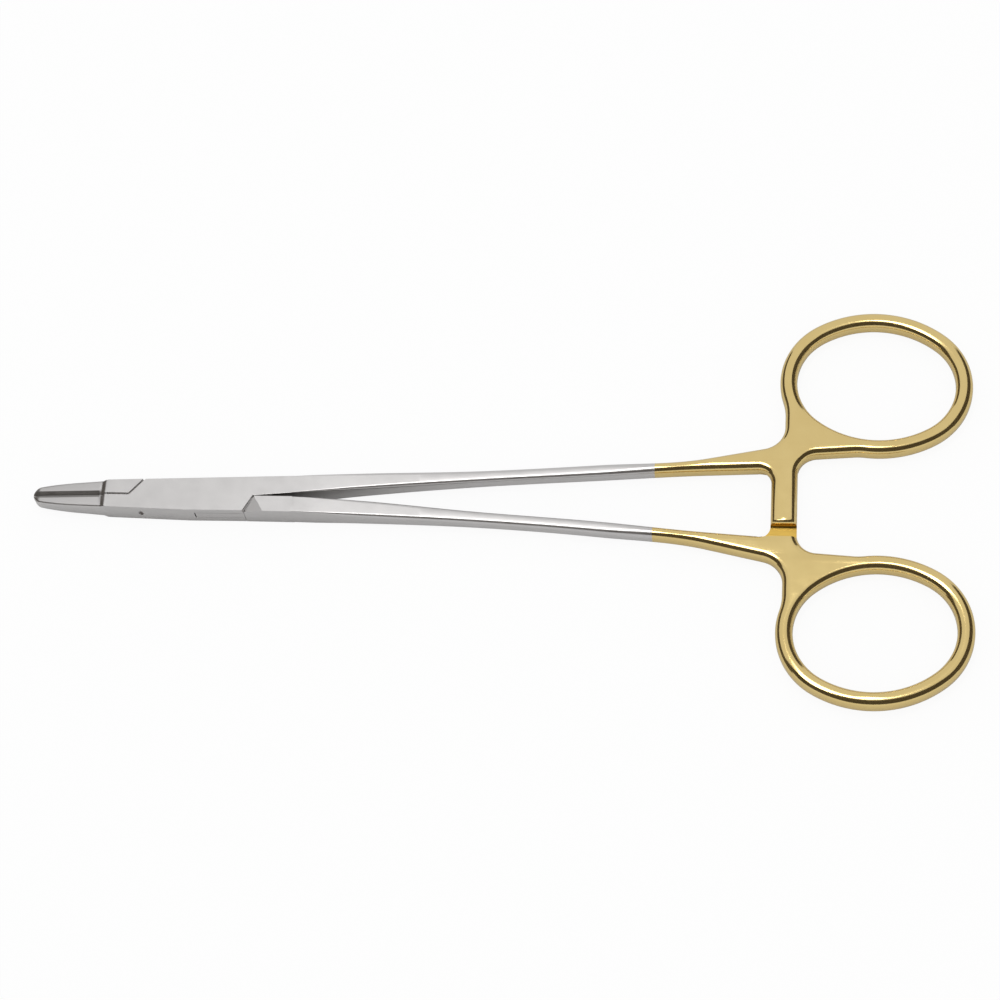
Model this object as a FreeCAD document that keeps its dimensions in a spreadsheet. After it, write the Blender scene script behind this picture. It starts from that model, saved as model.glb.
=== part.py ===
import FreeCAD, Part
import math
import os
import re
import Sketcher

# Surgical needle holder with a box lock, ratchet and two finger rings, closed.
# Every body is drawn about the lock pin: X runs from the jaws to the rings,
# Y across the jaws, and Z = 0 is the plane half way through the thickness.
# The box half has its jaw at -Y and its ring at +Y, and the tongue half the reverse.

# Driving dimensions in millimetres and degrees
SIZES = {
    "tip_reach": 25.5,
    "ring_reach": 124.5,
    "box_height": 4.0,
    "box_front_width": 2.4,
    "box_waist_width": 2.85,
    "box_rear_reach": 17.0,
    "seam_gap": 0.06,
    "lock_front_inner": 9.5,
    "lock_front_outer": 7.3,
    "lock_rear_inner": 10.7,
    "lock_rear_outer": 9.2,
    "lock_rear_offset": 0.15,
    "lock_gap": 0.08,
    "tongue_height": 1.6,
    "tongue_side": 1.6,
    "tongue_turn": 9.0,
    "tongue_front_reach": 10.4,
    "tongue_front_corner": 5.8,
    "tongue_rear_reach": 11.3,
    "tongue_inset": 0.12,
    "slot_gap": 0.05,
    "slot_reach": 20.0,
    "opening_angle": 25.0,
    "stop_margin": 1.0,
    "pin_diameter": 1.8,
    "pin_gap": 0.03,
    "jaw_length": 11.0,
    "shoulder_length": 1.3,
    "jaw_root_width": 2.15,
    "jaw_root_height": 3.3,
    "jaw_tip_width": 1.45,
    "jaw_tip_height": 2.1,
    "jaw_nose_flat": 0.12,
    "jaw_edge_round": 0.35,
    "insert_length": 10.3,
    "insert_setback": 0.4,
    "insert_thickness": 0.9,
    "insert_rim_chamfer": 0.25,
    "serration_pitch": 0.8,
    "serration_depth": 0.16,
    "serration_rows": 3,
    "serration_columns": 12,
    "shank_neck_share": 0.16,
    "shank_middle_share": 0.44,
    "shank_bow_share": 0.74,
    "shank_root_bevel": 0.25,
    "shank_neck_width": 2.8,
    "shank_neck_height": 3.3,
    "shank_neck_bevel": 0.45,
    "shank_middle_width": 2.05,
    "shank_middle_height": 2.6,
    "shank_middle_bevel": 0.5,
    "shank_bow_width": 2.05,
    "shank_bow_height": 2.6,
    "shank_bow_bevel": 0.55,
    "shank_end_width": 2.5,
    "shank_end_step": 0.04,
    "box_shank_root_width": 2.96,
    "box_shank_root": 1.92,
    "box_shank_neck": 2.83,
    "box_shank_middle": 4.05,
    "box_shank_bow": 5.4,
    "box_shank_end": 6.65,
    "tongue_shank_root_width": 2.7,
    "tongue_shank_root": 1.58,
    "tongue_shank_neck": 1.95,
    "tongue_shank_middle": 3.05,
    "tongue_shank_bow": 4.5,
    "tongue_shank_end": 6.3,
    "handle_height": 3.0,
    "ring_hole_length": 25.1,
    "ring_hole_width": 20.1,
    "ring_side_flattening": 1.15,
    "ring_bar_width": 2.7,
    "ring_centre_offset": 21.45,
    "ring_turn": 4.4,
    "rim_bevel": 0.8,
    "rim_ease": 0.3,
    "hub_length": 11.0,
    "hub_depth": 2.9,
    "hub_outer_inset": 0.95,
    "hub_outer_rise": 1.6,
    "hub_inner_drop": 0.5,
    "hub_inner_sink": 0.4,
    "hub_window_round": 2.0,
    "hub_outer_round": 4.0,
    "hub_inner_round": 3.2,
    "ring_blend_round": 9.0,
    "arm_setback": 1.05,
    "arm_width": 4.1,
    "arm_root_drop": 0.5,
    "arm_overlap": 2.7,
    "arm_running_gap": 0.12,
    "tooth_pitch": 1.2,
    "tooth_depth": 0.55,
    "tooth_count": 3,
    "tooth_setback": 0.5,
}

# Formulas that several features share
LOCK_X = "-(tip_reach - jaw_length - shoulder_length)"
RING_X = "(ring_reach - ring_hole_length / 2 - ring_bar_width)"
RING_LEFT = "(ring_reach - ring_hole_length - 2 * ring_bar_width)"
RING_BASE = "(ring_centre_offset - ring_hole_width / 2 - ring_bar_width)"
SHANK_END = "(ring_reach - ring_hole_length - 2 * ring_bar_width - hub_length)"
ARM_LEFT = "(ring_reach - ring_hole_length - 2 * ring_bar_width - arm_setback)"
RING_END_ROUND = "(ring_hole_width / 2 - ring_side_flattening)"
LOCK_FRONT_Y = (
    "(box_waist_width - (box_waist_width - box_front_width) * lock_front_outer"
    " / (tip_reach - jaw_length - shoulder_length))"
)
TOLERANCE = 1e-4

os.makedirs("parts", exist_ok=True)
doc = FreeCAD.newDocument("needle_holder")
sheet = doc.addObject("Spreadsheet::Sheet", "sizes")
for row, (alias, amount) in enumerate(SIZES.items(), start=1):
    sheet.set("A%d" % row, alias)
    sheet.set("B%d" % row, str(amount))
    sheet.setAlias("B%d" % row, alias)
doc.recompute()


def size(alias):
    """One driving dimension as the sheet holds it."""
    return float(sheet.get(alias))


def bound(formula):
    """The formula with each driving dimension written as a cell of the sheet."""
    return re.sub(r"[a-z_]+", lambda word: "sizes." + word[0] if word[0] in SIZES else word[0], formula)


def value(formula):
    """What a formula comes to, for picking edges and for first guesses in sketches."""
    return float(sheet.evalExpression(bound(formula)))


def signed(sign, formula):
    """The formula, or its negative."""
    return formula if sign > 0 else "-(" + formula + ")"


def origin_feature(body, role):
    """One of the body's own planes or axes."""
    return [item for item in body.Origin.OriginFeatures if item.Role == role][0]


def new_body(label):
    """An empty body that carries the pin axis to its place in the shared frame."""
    body = doc.addObject("PartDesign::Body", label)
    body.Label = label
    body.setExpression("Placement.Base.x", bound("-(ring_reach - tip_reach) / 2"))
    body.setExpression("Placement.Base.z", bound("box_height / 2"))
    return body


def new_sketch(body, name, role="XY_Plane", offset=None):
    """An empty sketch on one of the body's planes, moved along its normal by a formula."""
    sketch = body.newObject("Sketcher::SketchObject", name)
    sketch.AttachmentSupport = (origin_feature(body, role), [""])
    sketch.MapMode = "FlatFace"
    if offset is not None:
        sketch.setExpression("AttachmentOffset.Base.z", bound(offset))
    return sketch


def hold(sketch, kind, formula, *places):
    """A dimension of the sketch that follows a formula."""
    index = sketch.addConstraint(Sketcher.Constraint(kind, *places))
    sketch.setExpression("Constraints[%d]" % index, bound(formula))


def polygon(sketch, corners):
    """A closed polygon whose corners lie at places given as formulas."""
    first = sketch.GeometryCount
    count = len(corners)
    turns = [2 * math.pi * step / count for step in range(count)]
    start = [FreeCAD.Vector(math.cos(turn), math.sin(turn), 0) for turn in turns]
    for step in range(count):
        sketch.addGeometry(Part.LineSegment(start[step], start[(step + 1) % count]), False)
    for step in range(count):
        after = first + (step + 1) % count
        sketch.addConstraint(Sketcher.Constraint("Coincident", first + step, 2, after, 1))
    for step, (across, up) in enumerate(corners):
        hold(sketch, "DistanceX", across, -1, 1, first + step, 1, start[step].x)
        hold(sketch, "DistanceY", up, -1, 1, first + step, 1, start[step].y)
    return sketch


def circle(sketch, across, up, diameter):
    """A circle whose centre and diameter are given as formulas."""
    index = sketch.addGeometry(Part.Circle(FreeCAD.Vector(0, 0, 0), FreeCAD.Vector(0, 0, 1), 1.0), False)
    hold(sketch, "DistanceX", across, -1, 1, index, 3, 0.0)
    hold(sketch, "DistanceY", up, -1, 1, index, 3, 0.0)
    hold(sketch, "Diameter", diameter, index, 2.0)
    return sketch


def oval(sketch, hand, grown):
    """The outline of a finger ring: the hole's four-arc oval grown all round by a formula."""
    end_round = value(RING_END_ROUND)
    half_length = size("ring_hole_length") / 2
    half_width = size("ring_hole_width") / 2
    end_reach = half_length - end_round
    side_round = (end_reach**2 + half_width**2 - end_round**2) / (2 * (half_width - end_round))
    side_reach = side_round - half_width
    lean = math.radians(-hand * size("ring_turn"))
    along = FreeCAD.Vector(math.cos(lean), math.sin(lean), 0)
    across = FreeCAD.Vector(-math.sin(lean), math.cos(lean), 0)
    centre = FreeCAD.Vector(value(RING_X), hand * size("ring_centre_offset"), 0)
    right = centre + along * end_reach
    left = centre - along * end_reach
    below = centre - across * side_reach
    above = centre + across * side_reach
    swing = math.atan2(side_reach, end_reach)
    first = sketch.GeometryCount
    for middle, radius, start, turn in (
        (right, end_round, lean - swing, 2 * swing),
        (below, side_round, lean + swing, math.pi - 2 * swing),
        (left, end_round, lean + math.pi - swing, 2 * swing),
        (above, side_round, lean + math.pi + swing, math.pi - 2 * swing),
    ):
        ring = Part.Circle(middle, FreeCAD.Vector(0, 0, 1), radius)
        sketch.addGeometry(Part.ArcOfCircle(ring, start, start + turn), False)
    for step in range(4):
        after = first + (step + 1) % 4
        sketch.addConstraint(Sketcher.Constraint("Tangent", first + step, 2, after, 1))
    sketch.addConstraint(Sketcher.Constraint("Equal", first, first + 2))
    sketch.addConstraint(Sketcher.Constraint("Equal", first + 1, first + 3))
    reach = "(ring_hole_length / 2 - %s)" % RING_END_ROUND
    shift = "%s * cos(ring_turn)" % reach
    drop = "%s * sin(ring_turn)" % reach
    hold(sketch, "DistanceX", RING_X + " + " + shift, -1, 1, first, 3, right.x)
    hold(sketch, "DistanceY", signed(hand, "ring_centre_offset - " + drop), -1, 1, first, 3, right.y)
    hold(sketch, "DistanceX", RING_X + " - " + shift, -1, 1, first + 2, 3, left.x)
    hold(sketch, "DistanceY", signed(hand, "ring_centre_offset + " + drop), -1, 1, first + 2, 3, left.y)
    hold(sketch, "Radius", RING_END_ROUND + " + " + grown, first, end_round)
    side = "(%s^2 + (ring_hole_width / 2)^2 - %s^2) / (2 * ring_side_flattening)" % (reach, RING_END_ROUND)
    hold(sketch, "Radius", side + " + " + grown, first + 1, side_round)
    return sketch


def bevelled_rectangle(sketch, centre, width, height, bevel):
    """A rectangle with its corners cut off, centred on the formula 'centre' and on the mid plane."""
    corners = []
    for right, up in ((1, 1), (-1, 1), (-1, -1), (1, -1)):
        beside = (signed(right, "(%s) / 2" % width), signed(up, "(%s) / 2 - (%s)" % (height, bevel)))
        above = (signed(right, "(%s) / 2 - (%s)" % (width, bevel)), signed(up, "(%s) / 2" % height))
        corners += [beside, above] if right * up > 0 else [above, beside]
    return polygon(sketch, [("%s + %s" % (centre, across), up) for across, up in corners])


def swell(body, kind, name, sketch, length, both_ways=True, backwards=False):
    """A pad or pocket of the sketch, both ways from its plane or one way."""
    feature = body.newObject("PartDesign::" + kind, name)
    feature.Profile = sketch
    feature.SideType = "Symmetric" if both_ways else "One side"
    feature.Reversed = backwards
    feature.setExpression("Length", bound(length))
    sketch.Visibility = False
    doc.recompute()
    return feature


def loft(body, kind, name, sections, ruled):
    """A skin through the sections, added to the body or cut from it."""
    feature = body.newObject("PartDesign::" + kind, name)
    feature.Profile = sections[0]
    feature.Sections = sections[1:]
    feature.Ruled = ruled
    doc.recompute()
    return feature


def chosen_edges(feature, wanted):
    """The names of the edges whose box passes the test."""
    return [
        "Edge%d" % number
        for number, edge in enumerate(feature.Shape.Edges, start=1)
        if wanted(edge, edge.BoundBox)
    ]


def dress(body, kind, name, base, wanted, field, formula):
    """A fillet or chamfer of the edges that pass the test."""
    names = chosen_edges(base, wanted)
    if not names:
        raise RuntimeError(name + " finds no edge")
    feature = body.newObject("PartDesign::" + kind, name)
    feature.Base = (base, names)
    feature.setExpression(field, bound(formula))
    doc.recompute()
    return feature


def near(value, target):
    """Whether two lengths agree."""
    return abs(value - target) < TOLERANCE


def upright_at(reach, offset):
    """A test for the upright edge at the place of the plan that two formulas give."""

    def wanted(edge, box):
        upright = box.XLength < TOLERANCE and box.YLength < TOLERANCE
        return upright and near(box.XMin, value(reach)) and near(box.YMin, value(offset))

    return wanted


def handle(body, hand):
    """Finger ring, hub, ratchet arm and shank stub: one flat blank whose rims are rounded over in flats."""
    disc = oval(new_sketch(body, "ring_outline"), hand, "ring_bar_width")
    swell(body, "Pad", "ring_disc", disc, "handle_height")
    arm_right = ARM_LEFT + " + arm_width"
    window_y = RING_BASE + " - hub_depth"
    inner_y = RING_BASE + " - hub_inner_drop"
    outer_x = RING_LEFT + " + hub_outer_inset"
    outer_y = RING_BASE + " + hub_outer_rise"
    corners = [
        (SHANK_END, shank_end(hand) + " - shank_end_width / 2"),
        (ARM_LEFT, window_y),
        (ARM_LEFT, "-arm_overlap"),
        (arm_right, "-arm_overlap"),
        (arm_right, inner_y),
        (RING_X, RING_BASE + " + hub_inner_sink"),
        (RING_X, "ring_centre_offset"),
        (outer_x, "ring_centre_offset"),
        (outer_x, outer_y),
        (SHANK_END, shank_end(hand) + " + shank_end_width / 2"),
    ]
    plan = polygon(new_sketch(body, "hub_outline"), [(x, signed(hand, y)) for x, y in corners])
    blank = swell(body, "Pad", "hub", plan, "handle_height")
    window = upright_at(ARM_LEFT, signed(hand, window_y))
    blank = dress(body, "Fillet", "window_corner", blank, window, "Radius", "hub_window_round")
    inner = upright_at(arm_right, signed(hand, inner_y))
    blank = dress(body, "Fillet", "inner_corner", blank, inner, "Radius", "hub_inner_round")
    flare = upright_at(outer_x, signed(hand, outer_y))
    blank = dress(body, "Fillet", "outer_corner", blank, flare, "Radius", "hub_outer_round")
    side = value(outer_x)
    side_foot = value(outer_y)
    base_start = value(arm_right + " + hub_inner_round")
    base_top = value(RING_BASE + " + hub_inner_sink")

    def ring_joint(edge, box):
        """The two upright edges where the hub's sides run into the ring."""
        upright = box.XLength < TOLERANCE and box.YLength < TOLERANCE and box.ZLength > TOLERANCE
        at_side = near(box.XMin, side) and abs(box.YMin) > side_foot + TOLERANCE
        at_base = box.XMin > base_start and abs(box.YMin) < base_top + TOLERANCE
        return upright and (at_side or at_base)

    blank = dress(body, "Fillet", "ring_blend", blank, ring_joint, "Radius", "ring_blend_round")
    hole = oval(new_sketch(body, "ring_hole_outline"), hand, "0")
    blank = swell(body, "Pocket", "ring_hole", hole, "2 * handle_height")
    face = value("handle_height / 2")
    bevel_foot = value("handle_height / 2 - rim_bevel")
    stub = value(SHANK_END)

    def rim(edge, box):
        """The edges of both faces, and the feet of their bevels, apart from the end that meets the shank."""
        level = near(abs(box.ZMin), face) or near(abs(box.ZMin), bevel_foot)
        return box.ZLength < TOLERANCE and level and not near(box.XMax, stub)

    blank = dress(body, "Chamfer", "rim_bevel", blank, rim, "Size", "rim_bevel")
    return dress(body, "Chamfer", "rim_ease", blank, rim, "Size", "rim_ease")


def shank_end(hand):
    """Which driving dimension gives the far end of this half's shank."""
    return "box_shank_end" if hand > 0 else "tongue_shank_end"


def ratchet_arm(body, hand):
    """The arm past the window is cut to half the thickness, with saw teeth on the cut face."""
    root = RING_BASE + " - hub_depth - arm_root_drop"
    past_tip = "-(arm_overlap + tooth_pitch)"
    left = ARM_LEFT + " - arm_width / 2"
    right = ARM_LEFT + " + 3 * arm_width / 2"
    around = [(left, root), (right, root), (right, past_tip), (left, past_tip)]
    level = signed(hand, "arm_running_gap / 2")
    sketch = new_sketch(body, "arm_relief_outline", offset=level)
    plan = polygon(sketch, [(x, signed(hand, y)) for x, y in around])
    swell(body, "Pocket", "arm_relief", plan, "handle_height", both_ways=False, backwards=hand < 0)
    steep = "-(arm_overlap - tooth_setback)"
    tooth = [
        (signed(hand, steep), level),
        (signed(hand, steep), signed(hand, "arm_running_gap / 2 + tooth_depth")),
        (signed(hand, steep + " + tooth_pitch"), level),
    ]
    middle = ARM_LEFT + " + arm_width / 2"
    profile = polygon(new_sketch(body, "tooth_gap_outline", "YZ_Plane", middle), tooth)
    gap = swell(body, "Pocket", "tooth_gap", profile, "2 * arm_width")
    repeat(body, "tooth_row", gap, "Y_Axis", "tooth_pitch", "tooth_count", backwards=hand < 0)


def shank(body, hand):
    """The springy bar from the lock to the handle, skinned over bevelled sections."""
    side = "box_shank_" if hand > 0 else "tongue_shank_"
    span = "(%s - box_rear_reach)" % SHANK_END
    stations = [
        ("root", "box_rear_reach", side + "root_width", "box_height", "shank_root_bevel"),
    ]
    for word in ("neck", "middle", "bow"):
        reach = "box_rear_reach + shank_%s_share * %s" % (word, span)
        width, height, bevel = ("shank_%s_%s" % (word, part) for part in ("width", "height", "bevel"))
        stations.append((word, reach, width, height, bevel))
    stations.append(
        (
            "end",
            SHANK_END,
            "shank_end_width - 2 * shank_end_step",
            "handle_height - 2 * shank_end_step",
            "rim_bevel + rim_ease - shank_end_step",
        )
    )
    sections = []
    for word, reach, width, height, bevel in stations:
        sketch = new_sketch(body, "shank_" + word + "_section", "YZ_Plane", reach)
        centre = signed(hand, side + word)
        sections.append(bevelled_rectangle(sketch, centre, width, height, bevel))
    doc.recompute()
    return loft(body, "AdditiveLoft", "shank", sections, ruled=False)


def jaw(body, hand):
    """Shoulder and tapered jaw, with a bullet nose and a seat for the carbide insert."""
    stations = [
        ("tip_reach - jaw_length - shoulder_length", "box_front_width", "box_height"),
        ("tip_reach - jaw_length", "jaw_root_width", "jaw_root_height"),
        ("tip_reach", "jaw_tip_width", "jaw_tip_height"),
    ]
    sections = []
    for number, (reach, width, height) in enumerate(stations):
        corners = [
            (signed(-hand, "seam_gap / 2"), "-" + height + " / 2"),
            (signed(-hand, width), "-" + height + " / 2"),
            (signed(-hand, width), height + " / 2"),
            (signed(-hand, "seam_gap / 2"), height + " / 2"),
        ]
        sketch = new_sketch(body, "jaw_section_%d" % number, "YZ_Plane", "-(" + reach + ")")
        sections.append(polygon(sketch, corners))
    doc.recompute()
    blade = loft(body, "AdditiveLoft", "jaw", sections, ruled=True)
    tip = -size("tip_reach")
    root = jaw_root()
    outside = -hand * size("jaw_tip_width")

    def nose(edge, box):
        """The upright edge at the outer corner of the tip."""
        return near(box.XMin, tip) and near(box.XMax, tip) and near(box.YMin, outside) and near(box.YMax, outside)

    blade = dress(body, "Fillet", "nose", blade, nose, "Radius", "jaw_tip_width - seam_gap / 2 - jaw_nose_flat")

    def long_edge(edge, box):
        """The edges between the outer side of the jaw, its nose and its two faces."""
        ahead = box.XMax < root + TOLERANCE and not near(box.XMin, root)
        off_seam = min(abs(box.YMin), abs(box.YMax)) > size("seam_gap") or box.YLength > size("seam_gap")
        level = box.ZLength > TOLERANCE and box.XLength < TOLERANCE
        back = near(box.XMin, tip) and box.XLength < TOLERANCE and box.YLength < size("seam_gap")
        return ahead and off_seam and not level and not back

    blade = dress(body, "Fillet", "jaw_edges", blade, long_edge, "Radius", "jaw_edge_round")
    seat = polygon(new_sketch(body, "insert_seat_outline"), insert_plan(hand, "seam_gap"))
    return swell(body, "Pocket", "insert_seat", seat, "2 * box_height")


def jaw_root():
    """Where the jaw meets the shoulder."""
    return -(size("tip_reach") - size("jaw_length"))


def insert_plan(hand, overrun):
    """Plan of the carbide plate, or of its seat when it runs past the seam."""
    front = "-(tip_reach - insert_setback)"
    back = "-(tip_reach - insert_setback - insert_length)"
    near_side = signed(-hand, "seam_gap / 2 - (" + overrun + ")")
    far_side = signed(-hand, "insert_thickness")
    return [(front, near_side), (back, near_side), (back, far_side), (front, far_side)]


def box_half():
    """Female half: box with two walls, lower jaw, upper shank, front ratchet arm and ring."""
    hand = 1
    body = new_body("box_half")
    handle(body, hand)
    ratchet_arm(body, hand)
    shank(body, hand)
    corners = [
        (LOCK_X, "-seam_gap / 2"),
        (LOCK_X, "-box_front_width"),
        ("0", "-box_waist_width"),
        ("lock_rear_outer", "-box_waist_width"),
        ("lock_rear_inner", "-lock_rear_offset"),
        ("box_rear_reach", "box_shank_root - box_shank_root_width / 2"),
        ("box_rear_reach", "box_shank_root + box_shank_root_width / 2"),
        ("0", "box_waist_width"),
        ("-lock_front_outer", LOCK_FRONT_Y),
        ("-lock_front_inner", "-seam_gap / 2"),
    ]
    plan = polygon(new_sketch(body, "box_outline"), corners)
    swell(body, "Pad", "box", plan, "box_height")
    jaw(body, hand)
    slot = new_sketch(body, "slot_outline")
    swell(body, "Pocket", "slot", polygon(slot, slot_corners()), "tongue_height + 2 * slot_gap")
    bore = circle(new_sketch(body, "pin_bore_outline"), "0", "0", "pin_diameter")
    swell(body, "Pocket", "pin_bore", bore, "2 * box_height")
    return body


def slot_corners():
    """The hourglass that the tongue sweeps from closed to fully open, with its clearance."""
    side = "(tongue_side + slot_gap)"
    shut = "(tongue_turn)"
    wide = "(tongue_turn + opening_angle + stop_margin)"
    half = "((opening_angle + stop_margin) / 2)"
    middle = "(tongue_turn + " + half + ")"

    def on_side(angle, sign, along):
        """A point on one side of the tongue turned to an angle, some way along it."""
        across = "%s * %s * %s" % (sign, side, "sin(%s)" % angle)
        up = "%s * %s * %s" % (sign, side, "cos(%s)" % angle)
        return (
            "%s + %s * slot_reach * cos(%s)" % (across, along, angle),
            "%s - %s * slot_reach * sin(%s)" % (up, along, angle),
        )

    def waist(sign):
        """Where the closed side and the open side of the tongue cross."""
        reach = "%s * %s / cos(%s)" % (sign, side, half)
        return ("%s * sin(%s)" % (reach, middle), "%s * cos(%s)" % (reach, middle))

    return [
        on_side(shut, -1, -1),
        waist(-1),
        on_side(wide, -1, 1),
        on_side(shut, 1, 1),
        waist(1),
        on_side(wide, 1, -1),
    ]


def tongue_half():
    """Male half: upper jaw with its root, thin tongue, lower shank, back ratchet arm and ring."""
    hand = -1
    body = new_body("tongue_half")
    handle(body, hand)
    ratchet_arm(body, hand)
    shank(body, hand)
    rear = [
        ("lock_rear_outer + lock_gap", "-box_waist_width"),
        ("lock_rear_inner + lock_gap", "-(lock_rear_offset + seam_gap)"),
        ("box_rear_reach", "-(tongue_shank_root - tongue_shank_root_width / 2)"),
        ("box_rear_reach", "-(tongue_shank_root + tongue_shank_root_width / 2)"),
    ]
    swell(body, "Pad", "shank_root", polygon(new_sketch(body, "shank_root_outline"), rear), "box_height")
    slope = "tan(tongue_turn)"
    rise = "tongue_side / cos(tongue_turn)"
    low = "-(box_waist_width - tongue_inset)"
    tongue = [
        ("-tongue_front_reach", "tongue_front_reach * %s - %s" % (slope, rise)),
        ("-tongue_front_reach", "box_front_width"),
        ("-tongue_front_corner", "tongue_front_corner * %s + %s" % (slope, rise)),
        ("tongue_rear_reach", "-tongue_rear_reach * %s + %s" % (slope, rise)),
        ("tongue_rear_reach", low),
        ("(box_waist_width - tongue_inset - %s) / %s" % (rise, slope), low),
    ]
    swell(body, "Pad", "tongue", polygon(new_sketch(body, "tongue_outline"), tongue), "tongue_height")
    front = [
        (LOCK_X, "seam_gap / 2"),
        ("-(lock_front_inner + lock_gap)", "seam_gap / 2"),
        ("-(lock_front_outer + lock_gap)", LOCK_FRONT_Y),
        (LOCK_X, "box_front_width"),
    ]
    swell(body, "Pad", "jaw_root", polygon(new_sketch(body, "jaw_root_outline"), front), "box_height")
    jaw(body, hand)
    bore = circle(new_sketch(body, "tongue_bore_outline"), "0", "0", "pin_diameter + 2 * pin_gap")
    swell(body, "Pocket", "tongue_bore", bore, "2 * box_height")
    return body


def lock_pin():
    """The rivet of the lock, ground flush with both walls of the box."""
    body = new_body("lock_pin")
    outline = circle(new_sketch(body, "pin_outline"), "0", "0", "pin_diameter")
    swell(body, "Pad", "pin", outline, "box_height")
    return body


def jaw_insert(label, hand):
    """Carbide plate with a crossed grid of V grooves on its gripping face."""
    body = new_body(label)
    share = "(insert_setback / jaw_length)"
    far_share = "((insert_setback + insert_length) / jaw_length)"
    sections = []
    for number, (along, part) in enumerate((("0", share), ("insert_length", far_share))):
        height = "(jaw_tip_height + (jaw_root_height - jaw_tip_height) * %s) / 2" % part
        corners = [
            (signed(-hand, "seam_gap / 2"), "-" + height),
            (signed(-hand, "insert_thickness"), "-" + height),
            (signed(-hand, "insert_thickness"), height),
            (signed(-hand, "seam_gap / 2"), height),
        ]
        reach = "-(tip_reach - insert_setback - %s)" % along
        sections.append(polygon(new_sketch(body, "insert_section_%d" % number, "YZ_Plane", reach), corners))
    doc.recompute()
    plate = loft(body, "AdditiveLoft", "plate", sections, ruled=True)
    face = -hand * size("seam_gap") / 2

    def rim(edge, box):
        """The two long edges of the gripping face."""
        return near(box.YMin, face) and near(box.YMax, face) and box.XLength > size("insert_length") / 2

    dress(body, "Chamfer", "rim", plate, rim, "Size", "insert_rim_chamfer")
    bottom = signed(-hand, "seam_gap / 2 + serration_depth")
    top = signed(-hand, "seam_gap / 2")
    first = "-(tip_reach - insert_setback - serration_pitch)"
    across = [
        (first + " - serration_depth", top),
        (first + " + serration_depth", top),
        (first, bottom),
    ]
    groove = swell(body, "Pocket", "cross_groove",
                   polygon(new_sketch(body, "cross_groove_outline"), across), "2 * box_height")
    repeat(body, "cross_grooves", groove, "X_Axis", "serration_pitch", "serration_columns")
    lowest = "-(serration_rows - 1) / 2 * serration_pitch"
    along = [
        (top, lowest + " - serration_depth"),
        (top, lowest + " + serration_depth"),
        (bottom, lowest),
    ]
    groove = swell(body, "Pocket", "long_groove",
                   polygon(new_sketch(body, "long_groove_outline", "YZ_Plane"), along), "4 * tip_reach")
    repeat(body, "long_grooves", groove, "Z_Axis", "serration_pitch", "serration_rows")
    return body


def repeat(body, name, feature, axis, spacing, count, backwards=False):
    """Copies of a feature in a row along one of the body's axes."""
    row = body.newObject("PartDesign::LinearPattern", name)
    row.Originals = [feature]
    row.Direction = (origin_feature(body, axis), [""])
    row.Reversed = backwards
    row.Mode = "Spacing"
    row.setExpression("Offset", bound(spacing))
    row.setExpression("Occurrences", bound(count))
    body.Tip = row
    doc.recompute()
    return row


PIECES = [
    box_half(),
    tongue_half(),
    lock_pin(),
    jaw_insert("box_jaw_insert", 1),
    jaw_insert("tongue_jaw_insert", -1),
]
doc.recompute()

for item in doc.Objects:
    if "Invalid" in item.State or "Error" in item.State:
        raise RuntimeError(item.Name + " is in state " + str(item.State))
for piece in PIECES:
    if piece.Shape.isNull() or not piece.Shape.isValid() or len(piece.Shape.Solids) != 1:
        raise RuntimeError(piece.Label + " is not one valid solid")
for piece in PIECES:
    piece.Shape.exportStep("parts/" + piece.Label + ".step")
    box = piece.Shape.BoundBox
    print(piece.Label, "volume %.2f" % piece.Shape.Volume,
          "x %.2f..%.2f y %.2f..%.2f z %.2f..%.2f" % (box.XMin, box.XMax, box.YMin, box.YMax, box.ZMin, box.ZMax))
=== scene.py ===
import math

import bmesh
import bpy
import numpy as np
from mathutils import Matrix, Vector
from mathutils.geometry import tessellate_polygon


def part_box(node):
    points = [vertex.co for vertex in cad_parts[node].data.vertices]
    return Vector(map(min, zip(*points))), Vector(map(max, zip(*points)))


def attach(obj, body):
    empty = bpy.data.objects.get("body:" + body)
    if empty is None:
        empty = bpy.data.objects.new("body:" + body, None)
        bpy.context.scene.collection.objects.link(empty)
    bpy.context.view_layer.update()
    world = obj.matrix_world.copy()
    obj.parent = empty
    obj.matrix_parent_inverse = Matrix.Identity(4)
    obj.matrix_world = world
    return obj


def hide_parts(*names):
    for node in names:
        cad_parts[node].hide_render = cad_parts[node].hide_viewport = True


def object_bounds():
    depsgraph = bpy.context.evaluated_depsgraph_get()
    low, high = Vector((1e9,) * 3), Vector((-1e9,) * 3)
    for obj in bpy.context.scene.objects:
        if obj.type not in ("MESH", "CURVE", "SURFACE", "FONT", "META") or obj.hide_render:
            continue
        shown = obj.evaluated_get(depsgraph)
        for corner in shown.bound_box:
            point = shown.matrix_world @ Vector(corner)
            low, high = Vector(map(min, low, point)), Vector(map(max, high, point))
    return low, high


bl_info = {
    "name": "Surgical needle holder",
    "version": (1, 0, 0),
    "blender": (4, 5, 0),
    "location": "3D View > Sidebar > Needle Holder",
    "description": "Builds a box-lock needle holder with satin steel jaws and gold-plated finger rings",
    "category": "Object",
}

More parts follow.
